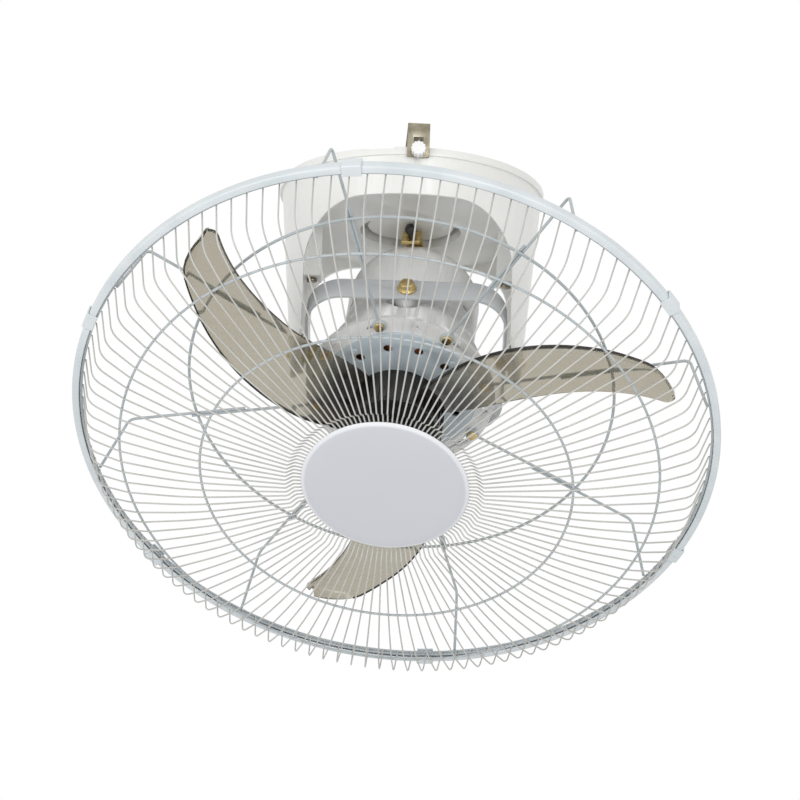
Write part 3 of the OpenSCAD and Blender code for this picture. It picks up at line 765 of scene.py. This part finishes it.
@dataclass
class Guard:
    """The wire guard: front grille, rim, clips, rear spokes and centre cap. Sizes in millimetres, head frame."""

    wires: int = 120
    wire_d: float = 1.15
    wire_azimuth: float = 1.4
    corners: tuple[tuple[float, float], ...] = (
        (225, 98.25), (215, 128.8), (190, 139.2), (140, 149), (69.6, 152.7), (64.8, 148), (44, 148))
    bends: tuple[float, ...] = (16, 40, 300, 2.2, 2.2)
    bend_steps: tuple[int, ...] = (6, 3, 4, 3, 3)
    rings: tuple[tuple[float, float, float], ...] = (
        (190, 137.4, 1.8), (130.8, 147.75, 1.8), (53, 146.5, 1.8))
    edge_r: float = 226.6
    edge_d: float = 2.0
    front_edge_h: float = 99.35
    rear_edge_h: float = 97.15
    rim_r: float = 232.5
    rim_w: float = 5.2
    rim_h: float = 7.5
    rim_rear: float = 94.5
    rim_t: float = 1.0
    rim_roll: float = 1.4
    rim_lip: float = 0.3
    rim_nip: float = 0.5
    clips: int = 6
    clip_t: float = 1.15
    clip_gap: float = 1.4
    clip_over: float = 1.2
    clip_corner: float = 0.8
    clip_degrees: float = 3.2
    clip_azimuth: float = -7.0
    spokes: int = 8
    spoke_d: float = 2.2
    spoke_azimuth: float = -13.8
    spoke_foot_r: float = 218.0
    spoke_foot_h: float = 44.0
    spoke_bend_r: float = 6.0
    weld_gap: float = 0.05
    rear_ring_r: float = 157.4
    eye_r: float = 64.5
    eye_h: float = 48.3
    cap_r: float = 59.2

    def front_wires(self) -> None:
        """Bends one front wire and repeats it round the grille."""
        corners = [radial(r, h, self.wire_azimuth) for r, h in self.corners]
        wire = bent_wire("front_wire", corners, self.bends, self.wire_d, WIRE_SIDES, self.bend_steps)
        grille = polar_copies("front_grille_wires", wire, self.wires)
        settle(grille, HEAD, "head", Finish.WIRE, ["front_guard_wires"])

    def front_rings(self) -> None:
        """The rings that the front wires are welded to."""
        hoops = [ring_wire(f"cross_ring_{i}", r, -h, d) for i, (r, h, d) in enumerate(self.rings)]
        hoops.append(ring_wire("front_edge_ring", self.edge_r, -self.front_edge_h, self.edge_d))
        settle(join("front_grille_rings", hoops), HEAD, "head", Finish.GUARD, ["front_guard_rings"])

    def rim(self) -> None:
        """The rolled channel that holds both halves of the guard together."""
        outer, rear, front = self.rim_r, self.rim_rear, self.rim_rear + self.rim_h
        inner, sheet, roll, lip, nip = outer - self.rim_w, self.rim_t, self.rim_roll, self.rim_lip, self.rim_nip
        corner = [(math.cos(math.radians(a)), math.sin(math.radians(a))) for a in (0, 22.5, 45, 67.5, 90)]
        outside = [(outer - roll + roll * c, -rear - roll + roll * s) for c, s in corner]
        outside += [(inner + lip, -rear), (inner, -rear - sheet / 2), (inner + lip, -rear - sheet)]
        inside = [(outer - sheet - nip, -rear - sheet), (outer - sheet, -rear - sheet - nip),
                  (outer - sheet, -front + sheet + nip), (outer - sheet - nip, -front + sheet)]
        far_side = [(inner + lip, -front + sheet), (inner, -front + sheet / 2), (inner + lip, -front)]
        far_side += [(outer - roll + roll * s, -front + roll - roll * c) for c, s in corner]
        band = lathe("rim_channel", outside + inside + far_side, 2 * self.wires)
        settle(band, HEAD, "head", Finish.RIM, ["guard_rim"])

    def spoke_height(self, radius: float) -> float:
        """A rear spoke's height at a radius, from where the head's heights start."""
        run = self.spoke_foot_r - self.eye_r
        return self.spoke_foot_h + (self.spoke_foot_r - radius) * (self.eye_h - self.spoke_foot_h) / run

    def rear_spokes(self) -> None:
        """The doubled rear spokes, each ending in a flattened eye."""
        side = Vector((self.spoke_d + self.weld_gap, 0, 0))
        outer = [radial(224.42, self.rear_edge_h), radial(213.1, self.spoke_height(213)),
                 radial(120, self.spoke_height(120))]
        inner = [radial(163, self.spoke_height(163)), radial(self.eye_r + 4.2, self.spoke_height(self.eye_r + 4))]
        outside = bent_wire("spoke_outer", [corner + side for corner in outer], (self.spoke_bend_r,), self.spoke_d,
                            SPOKE_SIDES)
        inside = bent_wire("spoke_inner", inner, (), self.spoke_d, SPOKE_SIDES)
        eye = lathe("spoke_eye", [(1.7, -47.5), (1.7, -49.1), (2.3, -49.4), (4.4, -49.4), (5.0, -48.9), (5.0, -47.7),
                                  (4.4, -47.2), (2.3, -47.2)], 28)
        place(eye, Matrix.Translation(radial(self.eye_r, 0) * MM))
        spoke = turned(join("spoke", [outside, inside, eye]), math.radians(self.spoke_azimuth))
        spider = polar_copies("rear_spokes", spoke, self.spokes)
        settle(spider, HEAD, "head", Finish.GUARD, ["rear_guard_spokes"])

    def rear_rings(self) -> None:
        """The rear guard's ring and its edge ring."""
        height = -self.spoke_height(self.rear_ring_r) - self.spoke_d - 0.04
        hoops = [ring_wire("rear_ring", self.rear_ring_r, height, self.spoke_d),
                 ring_wire("rear_edge_ring", self.edge_r, -self.rear_edge_h, self.edge_d)]
        settle(join("rear_rings", hoops), HEAD, "head", Finish.GUARD, ["rear_guard_ring"])

    def rim_clips(self) -> None:
        """Sheet clips that hold the halves of the guard against the rim."""
        outer, inner = self.rim_r + self.clip_gap, self.rim_r - self.rim_w - self.clip_gap
        front, rear = -self.rim_rear - self.rim_h - self.clip_over, -self.rim_rear + self.clip_over
        t, cut = self.clip_t, self.clip_corner
        profile = [(inner, rear), (outer - cut, rear), (outer, rear - cut), (outer, front + cut), (outer - cut, front),
                   (inner, front), (inner, front + t), (outer - t - 0.2, front + t), (outer - t, front + t + 0.2),
                   (outer - t, rear - t - 0.2), (outer - t - 0.2, rear - t), (inner, rear - t)]
        clip = lathe("rim_clip", profile, 5, True, math.radians(self.clip_degrees))
        turned(clip, math.radians(self.clip_azimuth - self.clip_degrees / 2 - 90))
        soften(clip, 0.3 * MM, degrees=ROUND_DEGREES)
        clips = polar_copies("rim_clips_dressed", clip, self.clips)
        settle(clips, HEAD, "head", Finish.RIM, ["rim_clips"])

    def cap(self) -> None:
        """The bare centre cap with its rolled edge, and the plate behind the wires."""
        rim = self.cap_r
        face = [(0, -152.15), (20, -152.1), (38, -151.85), (50, -151.45), (rim - 3.4, -151.0), (rim - 2.2, -150.7),
                (rim - 1.0, -150.15), (rim - 0.2, -149.55), (rim, -149.2), (rim - 0.15, -148.9), (rim - 0.6, -148.8),
                (rim - 1.4, -148.85), (rim - 1.7, -149.4), (rim - 3.5, -150.0), (40, -150.4), (0, -150.6)]
        shell = lathe("centre_cap_shell", face, 128, False)
        settle(shell, HEAD, "head", Finish.CAP, ["centre_cap"])
        plate = dressed_copy("cap_clamp", "cap_backplate", 0.3)
        settle(plate, IN_PLACE, "head", Finish.CAP, ["cap_backplate"])

    def build(self) -> None:
        """Builds the whole guard."""
        self.front_wires()
        self.front_rings()
        self.rim()
        self.rim_clips()
        self.rear_spokes()
        self.rear_rings()
        self.cap()


# ---------------------------------------------------------------- the fan

@dataclass
class Impeller:
    """Hub and three smoke-tinted blades, one moulding. Sizes in millimetres, head frame."""

    sweep: float = 201.0
    thickness: float = 1.7
    hub_r: float = 34.0
    hub_rear: float = 61.0
    hub_front: float = 95.0
    hub_wall: float = 2.6
    bore_r: float = 4.15
    ribs: int = 36
    webs: int = 12
    blades: int = 3
    rows: int = 24
    columns: int = 10
    lead_turn: float = 68.6
    lead_r: float = 190.0
    lead_slope: float = 0.285
    lead_corner: tuple[float, float, float] = (188.0, 13.2, 8.0)
    lead_h: float = 78.0
    lead_rise: tuple[float, float, float] = (170.0, 100.0, 0.1)
    trail_turn: float = 74.0
    trail_r: float = 110.0
    trail_curves: tuple[float, float] = (0.0023, 0.00092)
    trail_corner: tuple[float, float, float] = (193.0, 8.4, 3.0)
    trail_h: float = 73.0
    trail_fall: tuple[float, float] = (100.0, 0.1)
    arch: float = 6.0
    arch_slope: float = 0.035
    edge_rounding: float = 0.45
    # sizes of the sheet of painted edge shade along each blade's leading edge
    shade_band_rows: int = 36
    shade_band_depths: tuple[float, float] = (3.6, 1.6)
    shade_band_t: float = 0.5
    shade_band_ahead: float = 0.7
    shade_band_short: float = 9.0

    @staticmethod
    def corner(radius: float, start: float, reach: float, degrees: float) -> float:
        """How many degrees a blade's rounded corner has turned in by a radius.

        Args:
            radius: The radius in millimetres.
            start: The radius where the rounding starts.
            reach: How much further out it would end.
            degrees: The turn at its end.

        Returns:
            The turn in degrees, 0 before the rounding starts.
        """
        if radius <= start:
            return 0.0
        return degrees * (1 - math.sqrt(max(0.0, 1 - ((radius - start) / reach) ** 2)))

    def lead(self, radius: float) -> float:
        """The leading edge's azimuth at a radius, in degrees."""
        return self.lead_turn - (self.lead_r - radius) * self.lead_slope + self.corner(radius, *self.lead_corner)

    def trail(self, radius: float) -> float:
        """The trailing edge's azimuth at a radius, in degrees."""
        curve = self.trail_curves[radius > self.trail_r]
        return self.trail_turn + curve * (radius - self.trail_r) ** 2 - self.corner(radius, *self.trail_corner)

    def surface(self, radius: float, share: float) -> Vector:
        """A point of the blade's middle surface.

        Args:
            radius: The radius in millimetres.
            share: 0 at the leading edge and 1 at the trailing edge.

        Returns:
            The point in the head's frame, in millimetres.
        """
        turn = self.lead(radius) + (self.trail(radius) - self.lead(radius)) * share
        rise_from, rise_run, rise_slope = self.lead_rise
        fall_from, fall_slope = self.trail_fall
        lead_h = self.lead_h + max(0.0, min(rise_from - radius, rise_run)) * rise_slope
        trail_h = self.trail_h - max(0.0, fall_from - radius) * fall_slope
        camber = 4 * share * (1 - share) * min(self.arch, self.arch_slope * radius)
        return radial(radius, lead_h + (trail_h - lead_h) * share - camber, turn)

    def blade(self) -> bpy.types.Object:
        """One blade: a sheet drawn onto the blade's surface, with its edges rounded."""
        root = self.hub_r - 1.5

        def point(share: float, along: float) -> Vector:
            """The blade's point; the rows lie closer together near the tip."""
            radius = root + (self.sweep - root) * math.sin(along * math.pi / 2) ** 0.9
            return self.surface(min(radius, self.sweep), share)

        piece = drawn_sheet("blade", self.columns, self.rows, self.thickness, point, even=True)
        return smooth(soften(piece, self.edge_rounding * MM, 3, ROUND_DEGREES), ROUND_DEGREES)

    def painted_edge_shade_band(self) -> bpy.types.Object:
        """Painted shade: a near-black sheet along the leading edge, folded back, standing in for the darkening where
        the blade's edge is seen edge-on.
        """
        root, tip = self.hub_r - 1.0, self.sweep - self.shade_band_short
        start, end = self.shade_band_depths

        def point(across: float, along: float) -> Vector:
            """The band's point; it runs rearward from the edge and grows narrower towards the tip."""
            depth = start - (start - end) * along
            edge = self.surface(root + (tip - root) * along, 0.0)
            return edge + Vector((0, 0, across * depth - self.shade_band_ahead))

        return smooth(drawn_sheet("blade_painted_edge_shade", 1, self.shade_band_rows, self.shade_band_t, point), ROUND_DEGREES)

    def hub(self) -> bpy.types.Object:
        """The ribbed hub with its closed front."""
        r, rear, front, wall, bore = self.hub_r, -self.hub_rear, -self.hub_front, self.hub_wall, self.bore_r
        profile = [(bore, front), (r - 4, front), (r - 1.2, front + 0.7), (r - 0.2, front + 2.2), (r, front + 4),
                   (r, rear - 0.6), (r - 0.6, rear), (r - wall + 0.4, rear), (r - wall, rear - 0.6),
                   (r - wall, front + 3.4), (r - wall - 1.2, front + 2.6), (9, front + 2.6), (9, front + 28),
                   (bore, front + 28)]
        drum = lathe("hub_drum", profile, 3 * self.ribs)
        rib = block("hub_rib", (r + 0.25, 0, (front + rear) / 2), (1.1, 1.2, rear - front - 5), 0.3)
        ribs = polar_copies("hub_ribs", rib, self.ribs)
        web = block("hub_web", ((r + 8) / 2, 0, front + 12), (r - 10, 1.6, 19), 0.3)
        webs = polar_copies("hub_webs", web, self.webs)
        return join("fan_hub", [drum, ribs, webs])

    def build(self) -> None:
        """Builds hub, blades with their sheets of painted edge shade, and the nut that holds them."""
        hub = self.hub()
        settle(hub, HEAD, "rotor", Finish.SMOKE_HUB, ["fan_blades"])
        for index in range(self.blades):
            angle = math.radians(index * 360 / self.blades)
            blade = turned(self.blade(), angle)
            blade.name = f"fan_blade_{index + 1}"
            settle(blade, HEAD, "rotor", Finish.SMOKE, ["fan_blades"])
            # a near-black sheet of painted shade along the blade's leading edge
            band = turned(self.painted_edge_shade_band(), angle)
            band.name = f"blade_painted_edge_shade_{index + 1}"
            settle(band, HEAD, "rotor", Finish.SMOKE_PAINTED_EDGE_SHADE)
        nut = dressed_copy("spinner", "spinner_nut", 0.5)
        settle(nut, IN_PLACE, "rotor", Finish.DARK, ["spinner_nut"])


# ---------------------------------------------------------------- pieces kept from the CAD

@dataclass(frozen=True)
class Kept:
    """A CAD node that is shown through a rounded copy."""

    node: str
    name: str
    body: str
    finish: Finish
    slot: str
    rounding: float


ROUNDED: tuple[Kept, ...] = (
    Kept("canopy", "canopy_shell", "canopy", Finish.CANOPY, "white_plastic", 1.2),
    Kept("ceiling_strap", "hanger_strap", "canopy", Finish.ZINC, "zinc", 0.5),
    Kept("thumb_screws", "knob_screws", "canopy", Finish.WHITE, "white_plastic", 0.4),
    Kept("leg_screws", "post_screws", "canopy", Finish.ZINC, "brass", 0.4),
    Kept("gimbal_ring", "gimbal_strip", "ring", Finish.STRIP, "guard_paint", 0.5),
    Kept("leg_pivot_bolts", "leg_bolts", "ring", Finish.BRASS, "brass", 0.5),
    Kept("motor_pivot_bolts", "motor_bolts", "head", Finish.BRASS, "brass", 0.5),
    Kept("motor_can", "motor_housing", "head", Finish.MOTOR_PAINT, "white_paint", 0.6),
    Kept("front_plate", "motor_front_plate", "head", Finish.PLATE, "guard_paint", 0.4),
    Kept("rear_housing", "gear_housing", "head", Finish.WHITE, "white_plastic", 0.6),
    Kept("housing_screws", "plate_screws", "head", Finish.PLATE, "brass", 0.4),
    Kept("spoke_screws", "eye_screws", "head", Finish.BRASS, "brass", 0.4),
    Kept("crank_arm", "crank_link", "crank", Finish.BRASS, "zinc", 0.4),
)

INNER: dict[str, Finish] = {
    "terminal_block": Finish.WHITE, "capacitor": Finish.DARK, "lead_wires": Finish.COVER, "leg_bushes": Finish.BRASS,
    "orbit_socket": Finish.CANOPY, "leg_pivot_nuts": Finish.BRASS, "ring_bushes": Finish.BRASS,
    "stator_core": Finish.STEEL, "stator_windings": Finish.COPPER, "front_bearing": Finish.STEEL,
    "rear_bearing": Finish.STEEL, "gear_plate": Finish.STEEL, "idler_spindle": Finish.STEEL,
    "rotor_core": Finish.STEEL, "shaft": Finish.STEEL, "worm": Finish.BRASS, "worm_wheel": Finish.GEAR,
    "cross_shaft": Finish.STEEL, "idler_gear": Finish.GEAR, "crank_gear": Finish.GEAR,
    "crank_shaft": Finish.STEEL, "crank_ball": Finish.DARK,
}


def dress_kept() -> None:
    """Shows the CAD nodes whose shape is right, with rounded edges where they are seen."""
    for kept in ROUNDED:
        piece = dressed_copy(kept.name, kept.node, kept.rounding)
        settle(piece, IN_PLACE, kept.body, kept.finish, [kept.node])
    for node, finish in INNER.items():
        dress(frame["nodes"][node].data, finish)


# ---------------------------------------------------------------- the studio

@dataclass(frozen=True)
class Lamp:
    """A square area lamp that points at the pivot."""

    name: str
    spot: tuple[float, float, float]
    size: float
    watts: float

    def build(self) -> None:
        """Hangs the lamp; its place and edge length are in metres."""
        data = bpy.data.lights.new(self.name, "AREA")
        data.size = self.size
        data.energy = self.watts
        lamp = bpy.data.objects.new(self.name, data)
        bpy.context.scene.collection.objects.link(lamp)
        lamp.location = self.spot
        lamp.rotation_euler = (PIVOT - Vector(self.spot)).to_track_quat("-Z", "Y").to_euler()


@dataclass(frozen=True)
class Studio:
    """Floor, light and the camera at the photograph's angle."""

    focal_pixels: float = 1847.54
    image_pixels: float = 800.0
    sensor: float = 36.0
    azimuth: float = 1.29
    elevation: float = -13.15
    roll: float = 2.23
    distance: float = 1401.29
    slide_x: float = -4.73
    slide_y: float = -35.18
    floor_height: float = -1.2
    floor_size: float = 12.0
    light_level: float = 0.7
    lamps: tuple[Lamp, ...] = (
        Lamp("key", (-1.3, -1.9, -0.45), 0.9, 10.0),
        Lamp("fill", (0.4, -1.5, -0.1), 0.5, 5.0),
        Lamp("under", (0.0, -0.8, -1.1), 1.2, 1.0))

    def camera(self) -> None:
        """Puts the camera where the photograph was taken from."""
        azimuth, elevation, roll = (math.radians(a) for a in (self.azimuth, self.elevation, self.roll))
        back = Vector((math.sin(azimuth) * math.cos(elevation), -math.cos(azimuth) * math.cos(elevation),
                       math.sin(elevation)))
        right = (-back).cross(Vector((0, 0, 1))).normalized()
        up = right.cross(-back)
        right, up = (right * math.cos(roll) + up * math.sin(roll), up * math.cos(roll) - right * math.sin(roll))
        place_at = HEAD.translation + (back * self.distance + right * self.slide_x + up * self.slide_y) * MM
        data = bpy.data.cameras.new("photo_camera")
        data.sensor_width = self.sensor
        data.lens = self.focal_pixels * self.sensor / self.image_pixels
        data.clip_end = 50
        camera = bpy.data.objects.new("photo_camera", data)
        bpy.context.scene.collection.objects.link(camera)
        camera.matrix_world = Matrix.Translation(place_at) @ Matrix((right, up, back)).transposed().to_4x4()
        bpy.context.scene.camera = camera

    def world(self) -> None:
        """A soft grey world that shows white to the camera, to gloss and through tinted plastic."""
        world = bpy.data.worlds.new("studio")
        bpy.context.scene.world = world
        nodes = NodeTree(world)
        camera, gloss, tinted = (nodes.node("ShaderNodeLightPath", output=ray)
                                 for ray in ("Is Camera Ray", "Is Glossy Ray", "Is Transmission Ray"))
        level = nodes.node("ShaderNodeMapRange", {}, {"Value": camera.larger(tinted).larger(gloss),
                                                      "To Min": self.light_level, "To Max": 1.0})
        background = nodes.tree.nodes["Background"]
        nodes.link(level, background.inputs["Strength"])
        nodes.link((1, 1, 1), background.inputs["Color"])

    def floor(self) -> None:
        """A plain pale floor, well below the hanging fan."""
        deselect()
        bpy.ops.mesh.primitive_plane_add(size=self.floor_size, location=(0, 0, self.floor_height))
        ground = bpy.context.view_layer.objects.active
        ground.name = "studio_floor"
        look = Look("floor_paper")
        ground.data.materials.append(look.finish(Base_Color=(0.9, 0.9, 0.9), Roughness=0.9))

    def build(self) -> None:
        """Sets the whole studio up."""
        self.camera()
        self.world()
        self.floor()
        for lamp in self.lamps:
            lamp.build()
        bpy.context.scene.view_settings.view_transform = "Standard"


def main() -> None:
    """Builds the fan's looks and the studio."""
    logging.basicConfig(level=logging.INFO, format="%(name)s: %(message)s")
    Guard().build()
    Impeller().build()
    dress_kept()
    Studio().build()
    deselect()


if __name__ == "__main__":
    main()
